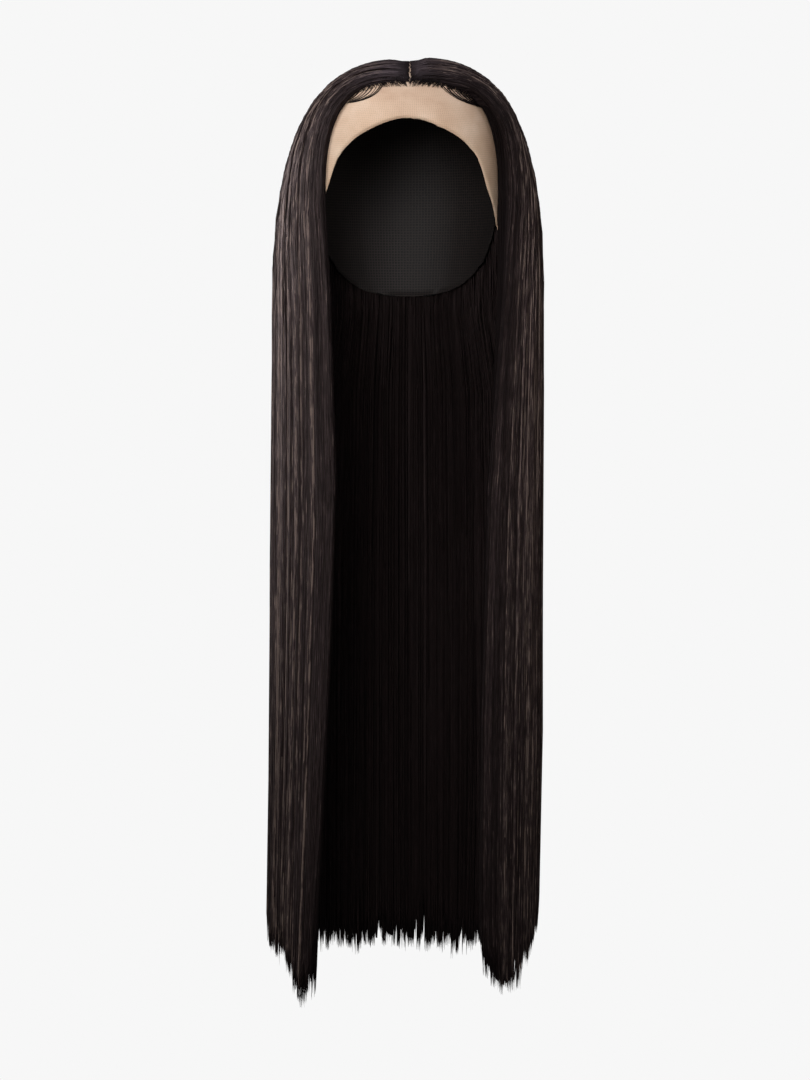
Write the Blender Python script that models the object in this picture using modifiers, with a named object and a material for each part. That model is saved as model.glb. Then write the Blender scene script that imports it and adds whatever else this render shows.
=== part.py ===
"""Long straight lace front wig with a centre parting, in the form it keeps on a head.

Metres, +Z up, the face side towards -Y and the wearer's left towards +X.
The origin is the inside of the lace at the crown, where the top of the head sits.
"""

import math

import bmesh
import bpy
from mathutils import Vector

MM = 0.001

# The head that the cap is made for, 56 cm round
HEAD_HALF_WIDTH = 74 * MM
HEAD_HALF_DEPTH = 97 * MM
HEAD_DOME = 100 * MM
HEAD_DOME_POWER = 2.5
HEAD_PLAN_POWER = 2.2
NAPE_DROP = 85 * MM
NAPE_TAPER = 0.10

# The cap: a lace front sewn to a stretch net back
CAP_WALL = 1.0 * MM
PIECE_GAP = 0.3 * MM
HAIR_CLEARANCE = 1.4 * MM
SEAM_BEHIND_CROWN = 20 * MM
CAP_COLUMNS = 48
CAP_ROWS = 10

# The free edge of the cap, from the middle of the forehead to the middle of the nape:
# azimuth from straight ahead in degrees, drop below the crown in mm
CAP_EDGE = (
    (-22, 58),
    (0, 47),
    (22, 58),
    (38, 76),
    (46, 96),
    (55, 113),
    (66, 128),
    (76, 134),
    (86, 130),
    (96, 115),
    (107, 113),
    (126, 150),
    (152, 177),
    (180, 184),
    (208, 177),
)

# The hair: where it is rooted, how far it stands off the head and where it hangs
HAIRLINE_Y = -68 * MM
CROWN_END_Y = 36 * MM
CROWN_RING = 3 * MM
CROWN_START = math.radians(118)
SECTION_GAP = 0.7 * MM
PARTING_X = 1.8 * MM
PARTING_HALF_GAP = 1.0 * MM
ROOT_LIFT = {-1: 3.5 * MM, 1: 4.9 * MM}
PARTING_DIP = 3.2 * MM
PARTING_SLOPE = 9.0 * MM
HANG_CENTRE_Y = 8 * MM
FRONT_REACH = 84 * MM
BACK_REACH = 112 * MM
WIDEST_AT = 0.33
SECTION_SPLIT = 0.66
FRONT_FALL, SIDE_FALL = 112 * MM, 200 * MM
FRONT_POWER, SIDE_POWER = 3.1, {-1: 2.65, 1: 2.78}

# The front view of the hanging hair, at each drop below the crown, in mm:
# the left curtain's inner edge and outer side, then the right one's
HANG = (
    (0, 67, 103, 81, 104),
    (110, 67, 107, 83, 107),
    (150, 65, 108, 82, 108),
    (200, 62, 108, 75, 109),
    (300, 58, 109, 67, 109),
    (430, 61, 110, 62, 108),
    (560, 67, 111, 59, 108),
    (660, 73, 113, 58, 106),
    (750, 76, 111, 62, 102),
)

# The lengths: share of the way from the curtain's front edge to the middle of the back,
# drop of the tips below the crown on the left and on the right in mm
LENGTHS = (
    (0.0, 696, 706),
    (0.015, 730, 717),
    (0.047, 740, 727),
    (0.08, 736, 733),
    (0.11, 728, 736),
    (0.145, 716, 731),
    (0.19, 710, 717),
    (0.24, 706, 707),
    (0.33, 703, 688),
    (0.5, 704, 696),
    (0.66, 712, 713),
    (0.82, 718, 722),
    (1.0, 720, 720),
)

# The locks that the hair is parted into, and its thickness from the parting to the tips
SIDE_LOCKS = 10
BACK_LOCKS = 10
COLUMNS_PER_LOCK = 4
LOCK_GROOVE = 2.4 * MM
DOME_STATIONS = 10
DOME_SPACING = 1.5
HANG_STATIONS = 4
TIP_LENGTH = 62 * MM
FRONT_TIP_RISE, BACK_TIP_RISE = 44 * MM, 20 * MM
TIP_STATIONS = ((0.45, 0.8), (0.8, 0.5), (1.0, 0.16))
ROOT_THICKNESS = 7 * MM
HEAD_THICKNESS = 30 * MM
HEAD_MIDDLE = 125 * MM
HANG_THICKNESS = 14 * MM
LEAST_THICKNESS = 1.2 * MM
FRONT_EDGE_SHARE, FRONT_EDGE_THICKNESS = 0.05, 0.2

# The laid baby hair at each temple: share along the swoop, then the swoop's lower edge
# and upper edge as distance from the middle and drop below the crown, in mm
BABY_HAIR = {
    -1: (
        (0.0, 20, 27.0, 20, 25.5),
        (0.35, 31, 32.5, 30, 28.0),
        (0.7, 40, 35.0, 40, 31.2),
        (1.0, 47.5, 36.5, 47.5, 34.3),
    ),
    1: (
        (0.0, 31, 27.5, 31, 26.0),
        (0.35, 40, 32.5, 40, 29.0),
        (0.7, 47, 35.5, 47, 32.0),
        (1.0, 54, 39.0, 54, 36.2),
    ),
}
BABY_HAIR_WALL = 0.8 * MM

HAIR_COLOUR = (0.010, 0.007, 0.007)
LACE_COLOUR = (0.62, 0.41, 0.27)
NET_COLOUR = (0.012, 0.010, 0.010)


def clear_scene():
    for old in list(bpy.data.objects):
        bpy.data.objects.remove(old)
    for old in list(bpy.data.collections):
        bpy.data.collections.remove(old)


def new_collection(name):
    made = bpy.data.collections.new(name)
    bpy.context.scene.collection.children.link(made)
    return made


def new_material(name, colour, roughness):
    made = bpy.data.materials.new(name)
    made.use_nodes = True
    shader = made.node_tree.nodes["Principled BSDF"]
    shader.inputs["Base Color"].default_value = (*colour, 1)
    shader.inputs["Roughness"].default_value = roughness
    shader.inputs["Metallic"].default_value = 0
    return made


def new_object(name, shape, collection, material=None):
    """An object that holds the bmesh, which is freed."""
    mesh = bpy.data.meshes.new(name)
    shape.to_mesh(mesh)
    shape.free()
    if material:
        mesh.materials.append(material)
    made = bpy.data.objects.new(name, mesh)
    collection.objects.link(made)
    return made


def smooth(share):
    share = min(1.0, max(0.0, share))
    return share * share * (3 - 2 * share)


def mix(first, second, share):
    return first + (second - first) * share


def table_value(table, at, column):
    """The table's column at a value of its first column, on a smooth curve through the rows."""
    at = min(max(at, table[0][0]), table[-1][0])
    row = next(i for i in range(1, len(table)) if at <= table[i][0]) - 1
    low, high = table[row], table[row + 1]
    before, after = table[max(row - 1, 0)], table[min(row + 2, len(table) - 1)]
    span = high[0] - low[0]
    share = (at - low[0]) / span
    slope_low = (high[column] - before[column]) / (high[0] - before[0]) * span
    slope_high = (after[column] - low[column]) / (after[0] - low[0]) * span
    square, cube = share**2, share**3
    return (
        (2 * cube - 3 * square + 1) * low[column]
        + (cube - 2 * square + share) * slope_low
        + (3 * square - 2 * cube) * high[column]
        + (cube - square) * slope_high
    )


def head_plan_radius(azimuth):
    """The head's radius at its widest level. Azimuth 0 is straight ahead, -Y."""
    across = abs(math.sin(azimuth)) / HEAD_HALF_WIDTH
    along = abs(math.cos(azimuth)) / HEAD_HALF_DEPTH
    return (across**HEAD_PLAN_POWER + along**HEAD_PLAN_POWER) ** (-1 / HEAD_PLAN_POWER)


def head_share(drop):
    """The head's size at a drop below the crown, as a share of its size at its widest level."""
    if drop <= HEAD_DOME:
        rise = (HEAD_DOME - drop) / HEAD_DOME
        return (1 - rise**HEAD_DOME_POWER) ** (1 / HEAD_DOME_POWER)
    return 1 - NAPE_TAPER * ((drop - HEAD_DOME) / NAPE_DROP) ** 2


def head_point(azimuth, drop, offset=0.0):
    radius = head_plan_radius(azimuth) * head_share(drop) + offset
    return Vector((radius * math.sin(azimuth), -radius * math.cos(azimuth), -drop))


def head_drop_at(y):
    """How far the head's middle line lies below the crown at this y."""
    run = (abs(y) / HEAD_HALF_DEPTH) ** HEAD_DOME_POWER
    return HEAD_DOME * (1 - (1 - run) ** (1 / HEAD_DOME_POWER))


def dome_drop(edge_drop, share):
    """Drops that space a dome's rows evenly from the crown, at share 0, to its edge, at 1."""
    if edge_drop <= HEAD_DOME:
        edge = math.acos(((HEAD_DOME - edge_drop) / HEAD_DOME) ** (HEAD_DOME_POWER / 2))
    else:
        edge = math.pi / 2 + (edge_drop - HEAD_DOME) / HEAD_DOME
    angle = edge * share
    if angle <= math.pi / 2:
        return HEAD_DOME * (1 - math.cos(angle) ** (2 / HEAD_DOME_POWER))
    return HEAD_DOME * (1 + angle - math.pi / 2)


def dome_shape(columns, rows, edge_of):
    """The upper half of a sphere, reshaped to the head down to edge_of(azimuth)."""
    shape = bmesh.new()
    bmesh.ops.create_uvsphere(shape, u_segments=columns, v_segments=2 * rows, radius=1)
    below = [v for v in shape.verts if v.co.z < -1e-4]
    bmesh.ops.delete(shape, geom=below, context="VERTS")
    for vert in shape.verts:
        share = math.acos(min(1.0, vert.co.z)) / (math.pi / 2)
        azimuth = math.atan2(vert.co.x, -vert.co.y)
        vert.co = head_point(azimuth, dome_drop(edge_of(azimuth), share))
    return shape


def cap_edge(azimuth):
    return table_value(CAP_EDGE, abs(math.degrees(azimuth)), 1) * MM


def cap_part(name, seam_y, front, collection, material):
    """The cap in front of the seam or behind it, as a thin wall on the head's form."""
    shape = dome_shape(CAP_COLUMNS, CAP_ROWS, cap_edge)
    bmesh.ops.bisect_plane(
        shape,
        geom=shape.verts[:] + shape.edges[:] + shape.faces[:],
        dist=1e-6,
        plane_co=(0, seam_y, 0),
        plane_no=(0, 1, 0),
        clear_outer=front,
        clear_inner=not front,
    )
    part = new_object(name, shape, collection, material)
    wall = part.modifiers.new("wall", "SOLIDIFY")
    wall.thickness = CAP_WALL
    wall.offset = 1
    wall.use_even_offset = True
    return part


def in_capped_head(point):
    """Whether the point lies in the head with the cap on it and the hair's clearance."""
    grow = CAP_WALL + HAIR_CLEARANCE
    drop = -point.z
    if drop <= -grow:
        return False
    if drop < HEAD_DOME:
        drop = (drop + grow) * HEAD_DOME / (HEAD_DOME + grow)
    radius = head_plan_radius(math.atan2(point.x, -point.y)) + grow
    return math.hypot(point.x, point.y) < radius * head_share(drop)


def head_reach(axis, outward):
    """How far the capped head reaches from a point inside it."""
    near, far = 0.0, 0.2
    for _ in range(24):
        middle = (near + far) / 2
        if in_capped_head(axis + outward * middle):
            near = middle
        else:
            far = middle
    return far


def hang_edges(side, drop):
    """The curtain's inner edge and outer side at this drop, as distances from the middle."""
    column = 1 if side < 0 else 3
    at = drop / MM
    return table_value(HANG, at, column) * MM, table_value(HANG, at, column + 1) * MM


def fall_point(side, share, drop):
    """A point of the hanging hair's outer face: share 0 is the curtain's front edge, 1 the back."""
    inner, outer = hang_edges(side, drop)
    if share <= WIDEST_AT:
        edge = math.asin(inner / outer)
        angle = mix(edge, math.pi / 2, share / WIDEST_AT)
        reach = FRONT_REACH
    else:
        angle = math.pi / 2 * (1 + (share - WIDEST_AT) / (1 - WIDEST_AT))
        reach = BACK_REACH
    y = HANG_CENTRE_Y - reach * math.cos(angle)
    return Vector((side * outer * math.sin(angle), y, -drop))


def root_point(side, share):
    """Where the hair starts: along the parting, then on a small ring round its back end."""
    behind = max(0.0, share - SECTION_SPLIT) / (1 - SECTION_SPLIT)
    lift = mix(ROOT_LIFT[side], sum(ROOT_LIFT.values()) / 2, smooth(behind))
    if behind > 0:
        turn = mix(CROWN_START, math.pi, behind)
        x = side * CROWN_RING * math.sin(turn)
        y = CROWN_END_Y - CROWN_RING * math.cos(turn)
    else:
        x = side * PARTING_HALF_GAP
        y = mix(HAIRLINE_Y, CROWN_END_Y, share / SECTION_SPLIT)
    return Vector((x + PARTING_X, y, lift - head_drop_at(y)))


def fall_drop(share):
    """The drop at which the hair leaves the head and hangs straight."""
    return mix(FRONT_FALL, SIDE_FALL, smooth(share / WIDEST_AT))


def draped_point(side, share, along):
    """A point of the hair's outer face on the head, from the root, along 0, to the fall, at 1."""
    power = mix(FRONT_POWER, SIDE_POWER[side], smooth(share / WIDEST_AT))
    run = 1 - (1 - along) ** power
    root, fall = root_point(side, share), fall_point(side, share, fall_drop(share))
    point = root.lerp(fall, run)
    point.z = mix(fall.z, root.z, (1 - run**power) ** (1 / power))
    from_parting = math.hypot(point.x - root.x, point.y - root.y)
    point.z -= PARTING_DIP * math.exp(-((from_parting / PARTING_SLOPE) ** 2))
    return point


def tip_drop(side, share):
    return table_value(LENGTHS, share, 1 if side < 0 else 2) * MM


def stations(share, tip):
    """(point function, its value, thickness) of each station of a column, from root to tip."""
    listed = []
    for i in range(DOME_STATIONS):
        along = (i / DOME_STATIONS) ** DOME_SPACING
        thickness = mix(ROOT_THICKNESS, HEAD_THICKNESS, smooth(along / 0.8))
        listed.append((draped_point, along, thickness))
    top = fall_drop(share)
    taper = tip - TIP_LENGTH
    for i in range(HANG_STATIONS + 1):
        drop = mix(top, taper, (i / HANG_STATIONS) ** 1.5)
        thin = smooth((drop - top) / (90 * MM))
        listed.append((fall_point, drop, mix(HEAD_THICKNESS, HANG_THICKNESS, thin)))
    for part, thickness in TIP_STATIONS:
        listed.append((fall_point, taper + TIP_LENGTH * part, HANG_THICKNESS * thickness))
    return listed


def hair_column(side, share, from_middle, shift):
    """The outer and inner points of the hair at one share, from the root to the tip.

    from_middle is 0 in the middle of a lock and 1 at the groove between two locks.
    """
    tip_rise = mix(FRONT_TIP_RISE, BACK_TIP_RISE, smooth(share / WIDEST_AT))
    tip = tip_drop(side, share) - tip_rise * from_middle**1.3
    rounding = mix(FRONT_EDGE_THICKNESS, 1, smooth(share / FRONT_EDGE_SHARE))
    outer, inner = [], []
    for point_at, value, thickness in stations(share, tip):
        point = point_at(side, share, value)
        axis = Vector((0, HANG_CENTRE_Y, min(point.z, -HEAD_MIDDLE)))
        outward = point - axis
        reach = outward.length
        outward.normalize()
        groove = LOCK_GROOVE * from_middle**2 * min(1, thickness / HANG_THICKNESS)
        least = head_reach(axis, outward)
        inside = max(reach - thickness * rounding, least)
        outside = max(reach - groove, inside + LEAST_THICKNESS)
        outer.append(axis + outward * outside + shift)
        inner.append(axis + outward * inside + shift)
    return outer, inner


def hair_shell(name, places, shift, collection, material):
    """A closed shell of hair through a column at each (side, share, from_middle) place."""
    columns = [hair_column(*place, shift) for place in places]
    shape = bmesh.new()
    outer = [[shape.verts.new(point) for point in column[0]] for column in columns]
    inner = [[shape.verts.new(point) for point in column[1]] for column in columns]
    last = len(outer[0]) - 1
    for i in range(len(columns) - 1):
        for j in range(last):
            shape.faces.new((outer[i][j], outer[i][j + 1], outer[i + 1][j + 1], outer[i + 1][j]))
            shape.faces.new((inner[i][j], inner[i + 1][j], inner[i + 1][j + 1], inner[i][j + 1]))
        shape.faces.new((outer[i][0], outer[i + 1][0], inner[i + 1][0], inner[i][0]))
        shape.faces.new((outer[i][last], inner[i][last], inner[i + 1][last], outer[i + 1][last]))
    for j in range(last):
        shape.faces.new((outer[0][j], inner[0][j], inner[0][j + 1], outer[0][j + 1]))
        shape.faces.new((outer[-1][j], outer[-1][j + 1], inner[-1][j + 1], inner[-1][j]))
    if shape.calc_volume(signed=True) < 0:
        bmesh.ops.reverse_faces(shape, faces=shape.faces)
    new_object(name, shape, collection, material)


def lock_places(side, start, end, locks):
    """(side, share, from_middle) of each column of these locks."""
    count = locks * COLUMNS_PER_LOCK
    places = []
    for i in range(count + 1):
        across = i / COLUMNS_PER_LOCK
        from_middle = abs(2 * (across - math.floor(across)) - 1)
        places.append((side, mix(start, end, i / count), from_middle))
    return places


def build_hair(collection, material):
    still = Vector((0, 0, 0))
    for side, name in ((-1, "hair_left"), (1, "hair_right")):
        places = lock_places(side, 0, SECTION_SPLIT, SIDE_LOCKS)
        hair_shell(name, places, still, collection, material)
    half = BACK_LOCKS // 2
    places = lock_places(-1, SECTION_SPLIT, 1, half)
    places += lock_places(1, SECTION_SPLIT, 1, half)[-2::-1]
    hair_shell("hair_back", places, Vector((0, SECTION_GAP, 0)), collection, material)


def front_point(side, across, drop, offset):
    """A point on the front of the head, this far to the side and below the crown."""
    share = head_share(drop)
    run = (across / (HEAD_HALF_WIDTH * share)) ** HEAD_PLAN_POWER
    y = -HEAD_HALF_DEPTH * share * (1 - run) ** (1 / HEAD_PLAN_POWER)
    point = Vector((side * across, y, -drop))
    outward = Vector((side * across / HEAD_HALF_WIDTH**2, y / HEAD_HALF_DEPTH**2, 0))
    outward.z = (HEAD_DOME - drop) / HEAD_DOME**2
    return point + outward.normalized() * offset


def baby_hair(name, side, collection, material):
    """The laid swoop of short hairs at a temple, as a thin leaf on the lace."""
    swoop = BABY_HAIR[side]
    shape = bmesh.new()
    bmesh.ops.create_grid(shape, x_segments=10, y_segments=2, size=0.5)
    for vert in shape.verts:
        along, up = vert.co.x + 0.5, vert.co.y + 0.5
        across = mix(table_value(swoop, along, 1), table_value(swoop, along, 3), up)
        drop = mix(table_value(swoop, along, 2), table_value(swoop, along, 4), up)
        offset = CAP_WALL + PIECE_GAP
        vert.co = front_point(side, across * MM, drop * MM, offset)
    bmesh.ops.recalc_face_normals(shape, faces=shape.faces)
    shape.faces.ensure_lookup_table()
    if shape.faces[0].normal.y > 0:
        bmesh.ops.reverse_faces(shape, faces=shape.faces)
    part = new_object(name, shape, collection, material)
    wall = part.modifiers.new("wall", "SOLIDIFY")
    wall.thickness = BABY_HAIR_WALL
    wall.offset = 1


def main():
    clear_scene()
    wig = new_collection("lace_front_wig")
    hair = new_material("hair", HAIR_COLOUR, 0.4)
    lace = new_material("lace", LACE_COLOUR, 0.8)
    net = new_material("stretch_net", NET_COLOUR, 0.85)
    seam = SEAM_BEHIND_CROWN
    cap_part("lace_front", seam, True, wig, lace)
    cap_part("wig_cap", seam + PIECE_GAP, False, wig, net)
    build_hair(wig, hair)
    for side, name in ((-1, "baby_hair_left"), (1, "baby_hair_right")):
        baby_hair(name, side, wig, hair)


main()
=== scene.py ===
# %% [markdown]
# # A long straight lace front wig
#
# A wig is a thin cap with hair tied into it. This one keeps the form it has on a head: a centre
# parting, two long curtains in front and a sheet of hair behind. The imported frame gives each
# piece its place and size, and this script gives it the look of real hair, lace and net.

import math

import bmesh
import bpy
import numpy as np
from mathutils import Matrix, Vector


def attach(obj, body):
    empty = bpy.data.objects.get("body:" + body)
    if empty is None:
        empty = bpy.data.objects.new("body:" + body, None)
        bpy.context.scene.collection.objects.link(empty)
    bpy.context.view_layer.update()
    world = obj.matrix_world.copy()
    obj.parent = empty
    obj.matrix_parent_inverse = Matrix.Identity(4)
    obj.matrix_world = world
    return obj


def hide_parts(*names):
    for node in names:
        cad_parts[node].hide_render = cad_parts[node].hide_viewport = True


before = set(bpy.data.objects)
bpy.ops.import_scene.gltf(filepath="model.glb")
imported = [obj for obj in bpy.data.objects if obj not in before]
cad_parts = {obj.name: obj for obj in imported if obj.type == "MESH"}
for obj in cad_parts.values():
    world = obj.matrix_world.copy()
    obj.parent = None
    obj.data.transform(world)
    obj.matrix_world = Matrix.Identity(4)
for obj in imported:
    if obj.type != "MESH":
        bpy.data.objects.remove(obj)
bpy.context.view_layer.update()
print("frame:", sorted(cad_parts))

MM = 0.001


# %% [markdown]
# ## Small helpers
#
# A colour in a picture is stored in sRGB, and a shader wants linear light, so one function
# turns a hex value into linear numbers. Another adds a shader node with its settings and its
# links in one call, which keeps each material short enough to read. It serves the world too.

# %% Helpers
def linear(hex_colour):
    """The linear red, green, blue and alpha of an sRGB hex colour."""
    parts = [int(hex_colour[i : i + 2], 16) / 255 for i in (1, 3, 5)]
    return [c / 12.92 if c <= 0.04045 else ((c + 0.055) / 1.055) ** 2.4 for c in parts] + [1.0]


def add_node(material, kind, settings=None, **inputs):
    """A shader node. An input is a value, or another node's output socket to link from."""
    node = material.node_tree.nodes.new(kind)
    for name, value in (settings or {}).items():
        setattr(node, name, value)
    for name, value in inputs.items():
        socket = node.inputs[int(name[1:]) if name[1:].isdigit() else name.replace("_", " ")]
        if isinstance(value, bpy.types.NodeSocket):
            material.node_tree.links.new(value, socket)
        else:
            socket.default_value = value
    return node


def new_material(name):
    """A material with nodes, and its main shader."""
    material = bpy.data.materials.new(name)
    material.use_nodes = True
    return material, material.node_tree.nodes["Principled BSDF"]


def link(material, output, socket):
    material.node_tree.links.new(output, socket)


def math_node(material, operation, *values):
    """The result of a maths node. Each value is a number or an output socket."""
    inputs = {f"_{i}": value for i, value in enumerate(values)}
    return add_node(material, "ShaderNodeMath", {"operation": operation}, **inputs).outputs[0]


def map_range(material, value, low, high):
    """A value carried from one range to another, given by two pairs of (before, after)."""
    node = add_node(
        material,
        "ShaderNodeMapRange",
        None,
        Value=value,
        From_Min=low[0],
        From_Max=high[0],
        To_Min=low[1],
        To_Max=high[1],
    )
    return node.outputs["Result"]


def ramp(material, factor, stops):
    """A colour ramp with (place, hex colour) stops."""
    node = add_node(material, "ShaderNodeValToRGB", None, Fac=factor)
    elements = node.color_ramp.elements
    while len(elements) < len(stops):
        elements.new(0.5)
    for element, (place, colour) in zip(elements, stops):
        element.position = place
        element.color = linear(colour)
    return node.outputs["Color"]


def add_object(name, data):
    """An object made of a mesh, a lamp or a camera, in the scene."""
    made = bpy.data.objects.new(name, data)
    bpy.context.scene.collection.objects.link(made)
    return made


def select_nothing():
    if bpy.context.object and bpy.context.object.mode != "OBJECT":
        bpy.ops.object.mode_set(mode="OBJECT")
    bpy.ops.object.select_all(action="DESELECT")


def apply_modifier(piece, kind, **settings):
    modifier = piece.modifiers.new(kind.lower(), kind)
    for name, value in settings.items():
        setattr(modifier, name, value)
    select_nothing()
    piece.select_set(True)
    bpy.context.view_layer.objects.active = piece
    bpy.ops.object.modifier_apply(modifier=modifier.name)


# %% [markdown]
# ## The head inside the cap
#
# The cap is made for a head 56 cm round. Its plan is a superellipse, a little squarer than an
# oval, and it narrows towards the nape. The same few numbers made the frame's solids, so the
# lace and the net made from them land where the frame has them.

# %% The head form
HEAD_HALF_WIDTH, HEAD_HALF_DEPTH, HEAD_DOME = 74 * MM, 97 * MM, 100 * MM
HEAD_DOME_POWER, HEAD_PLAN_POWER = 2.5, 2.2
NAPE_DROP, NAPE_TAPER = 85 * MM, 0.10
CAP_WALL = 1.0 * MM
SEAM_BEHIND_CROWN, PIECE_GAP = 20 * MM, 0.3 * MM
SURELY_OUTSIDE, HALVINGS = 200 * MM, 18

# The free edge of the cap: azimuth from straight ahead in degrees, drop below the crown in mm
CAP_EDGE = (
    (-22, 58),
    (0, 47),
    (22, 58),
    (38, 76),
    (46, 96),
    (55, 113),
    (66, 128),
    (76, 134),
    (86, 130),
    (96, 115),
    (107, 113),
    (126, 150),
    (152, 177),
    (180, 184),
    (208, 177),
)


def smooth(share):
    share = np.clip(share, 0, 1)
    return share * share * (3 - 2 * share)


def mix(first, second, share):
    return first + (second - first) * share


def table_value(table, at, column):
    """The table's column at values of its first column, on a smooth curve through the rows."""
    rows = np.array(table, float)
    x, y = rows[:, 0], rows[:, column]
    at = np.clip(at, x[0], x[-1])
    low = np.clip(np.searchsorted(x, at, "left") - 1, 0, len(x) - 2)
    high = low + 1
    before, after = np.maximum(low - 1, 0), np.minimum(high + 1, len(x) - 1)
    span = x[high] - x[low]
    share = (at - x[low]) / span
    slope_low = (y[high] - y[before]) / (x[high] - x[before]) * span
    slope_high = (y[after] - y[low]) / (x[after] - x[low]) * span
    square, cube = share**2, share**3
    return (
        (2 * cube - 3 * square + 1) * y[low]
        + (cube - 2 * square + share) * slope_low
        + (3 * square - 2 * cube) * y[high]
        + (cube - square) * slope_high
    )


def head_plan_radius(azimuth):
    across = np.abs(np.sin(azimuth)) / HEAD_HALF_WIDTH
    along = np.abs(np.cos(azimuth)) / HEAD_HALF_DEPTH
    return (across**HEAD_PLAN_POWER + along**HEAD_PLAN_POWER) ** (-1 / HEAD_PLAN_POWER)


def head_share(drop):
    """The head's size at a drop below the crown, as a share of its size at its widest level."""
    rise = np.clip((HEAD_DOME - drop) / HEAD_DOME, 0, 1)
    dome = (1 - rise**HEAD_DOME_POWER) ** (1 / HEAD_DOME_POWER)
    below = np.maximum(drop - HEAD_DOME, 0) / NAPE_DROP
    return dome * (1 - NAPE_TAPER * below**2)


def head_drop_at(y):
    run = (np.abs(y) / HEAD_HALF_DEPTH) ** HEAD_DOME_POWER
    return HEAD_DOME * (1 - (1 - run) ** (1 / HEAD_DOME_POWER))


def dome_drop(edge_drop, share):
    """Drops that space a dome's rows evenly from the crown, at share 0, to its edge, at 1."""
    above = np.arccos(np.clip((HEAD_DOME - edge_drop) / HEAD_DOME, 0, 1) ** (HEAD_DOME_POWER / 2))
    edge = np.where(edge_drop <= HEAD_DOME, above, math.pi / 2 + edge_drop / HEAD_DOME - 1)
    angle = edge * share
    upper = HEAD_DOME * (1 - np.cos(np.minimum(angle, math.pi / 2)) ** (2 / HEAD_DOME_POWER))
    return np.where(angle <= math.pi / 2, upper, HEAD_DOME * (1 + angle - math.pi / 2))


def in_capped_head(points, grow):
    """Whether each point lies in the head, grown outwards by a distance."""
    drop = -points[..., 2]
    scaled = np.where(drop < HEAD_DOME, (drop + grow) * HEAD_DOME / (HEAD_DOME + grow), drop)
    azimuth = np.arctan2(points[..., 0], -points[..., 1])
    radius = head_plan_radius(azimuth) + grow
    inside = np.hypot(points[..., 0], points[..., 1]) < radius * head_share(np.maximum(scaled, 0))
    return inside & (drop > -grow)


def head_reach(axis, outward, grow):
    """How far the grown head reaches from points inside it, found by halving."""
    near = np.zeros(axis.shape[:-1])
    far = near + SURELY_OUTSIDE
    for _ in range(HALVINGS):
        middle = (near + far) / 2
        inside = in_capped_head(axis + outward * middle[..., None], grow)
        near = np.where(inside, middle, near)
        far = np.where(inside, far, middle)
    return far


# %% [markdown]
# ## How the hair falls
#
# Every hair is a path with three numbers: its side of the parting, its share of the way from
# the front edge round to the middle of the back, and how deep it lies under the outer face. On
# the head it drapes on a rounded curve, and below the widest level it hangs straight down. With
# the tables in one place, the loose hairs and the mass beneath them always agree.

# %% The hair's form
HAIRLINE_Y, CROWN_END_Y = -68 * MM, 36 * MM
CROWN_RING, CROWN_START = 3 * MM, math.radians(118)
PARTING_X, PARTING_HALF_GAP = 1.8 * MM, 0.6 * MM
ROOT_LIFT = {-1: 3.5 * MM, 1: 4.9 * MM}
PARTING_DIP, PARTING_SLOPE = 3.2 * MM, 9.0 * MM
PARTING_WAVER, PARTING_WAVES = 0.4 * MM, (11 * MM, 4.3 * MM)
HANG_CENTRE_Y, FRONT_REACH, BACK_REACH = 8 * MM, 84 * MM, 112 * MM
WIDEST_AT, SECTION_SPLIT = 0.33, 0.66
FRONT_FALL, SIDE_FALL = 112 * MM, 200 * MM
FRONT_POWER, SIDE_POWER = 3.1, {-1: 2.65, 1: 2.78}
HEAD_MIDDLE = 125 * MM
ROOT_THICKNESS, HEAD_THICKNESS, HANG_THICKNESS = 7 * MM, 30 * MM, 14 * MM
THICK_ALONG, THINNED_WITHIN = 0.8, 90 * MM
FRONT_EDGE_SHARE, FRONT_EDGE_THICKNESS = 0.05, 0.2
HAIR_CLEARANCE = 0.4 * MM

# The front view of the hanging hair, at each drop below the crown, in mm:
# the left curtain's inner edge and outer side, then the right one's
HANG = (
    (0, 67, 103, 81, 104),
    (110, 67, 107, 83, 107),
    (150, 65, 108, 82, 108),
    (200, 62, 108, 75, 109),
    (300, 58, 109, 67, 109),
    (430, 61, 110, 62, 108),
    (560, 67, 111, 59, 108),
    (660, 73, 113, 58, 106),
    (750, 76, 111, 62, 102),
)

# Share of the way to the middle of the back, then how low the tips hang on the left and right
LENGTHS = (
    (0.0, 696, 706),
    (0.015, 730, 717),
    (0.047, 740, 727),
    (0.08, 736, 733),
    (0.11, 728, 736),
    (0.145, 716, 731),
    (0.19, 710, 717),
    (0.24, 706, 707),
    (0.33, 703, 688),
    (0.5, 704, 696),
    (0.66, 712, 713),
    (0.82, 718, 722),
    (1.0, 720, 720),
)


def hang_point(side, share, drop):
    """Points on the outer face of the hanging hair."""
    column = 1 if side < 0 else 3
    inner = table_value(HANG, drop / MM, column) * MM
    outer = table_value(HANG, drop / MM, column + 1) * MM
    edge = np.arcsin(inner / outer)
    front = mix(edge, math.pi / 2, share / WIDEST_AT)
    back = math.pi / 2 * (1 + (share - WIDEST_AT) / (1 - WIDEST_AT))
    angle = np.where(share <= WIDEST_AT, front, back)
    reach = np.where(share <= WIDEST_AT, FRONT_REACH, BACK_REACH)
    x = side * outer * np.sin(angle)
    return np.stack(np.broadcast_arrays(x, HANG_CENTRE_Y - reach * np.cos(angle), -drop), -1)


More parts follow.
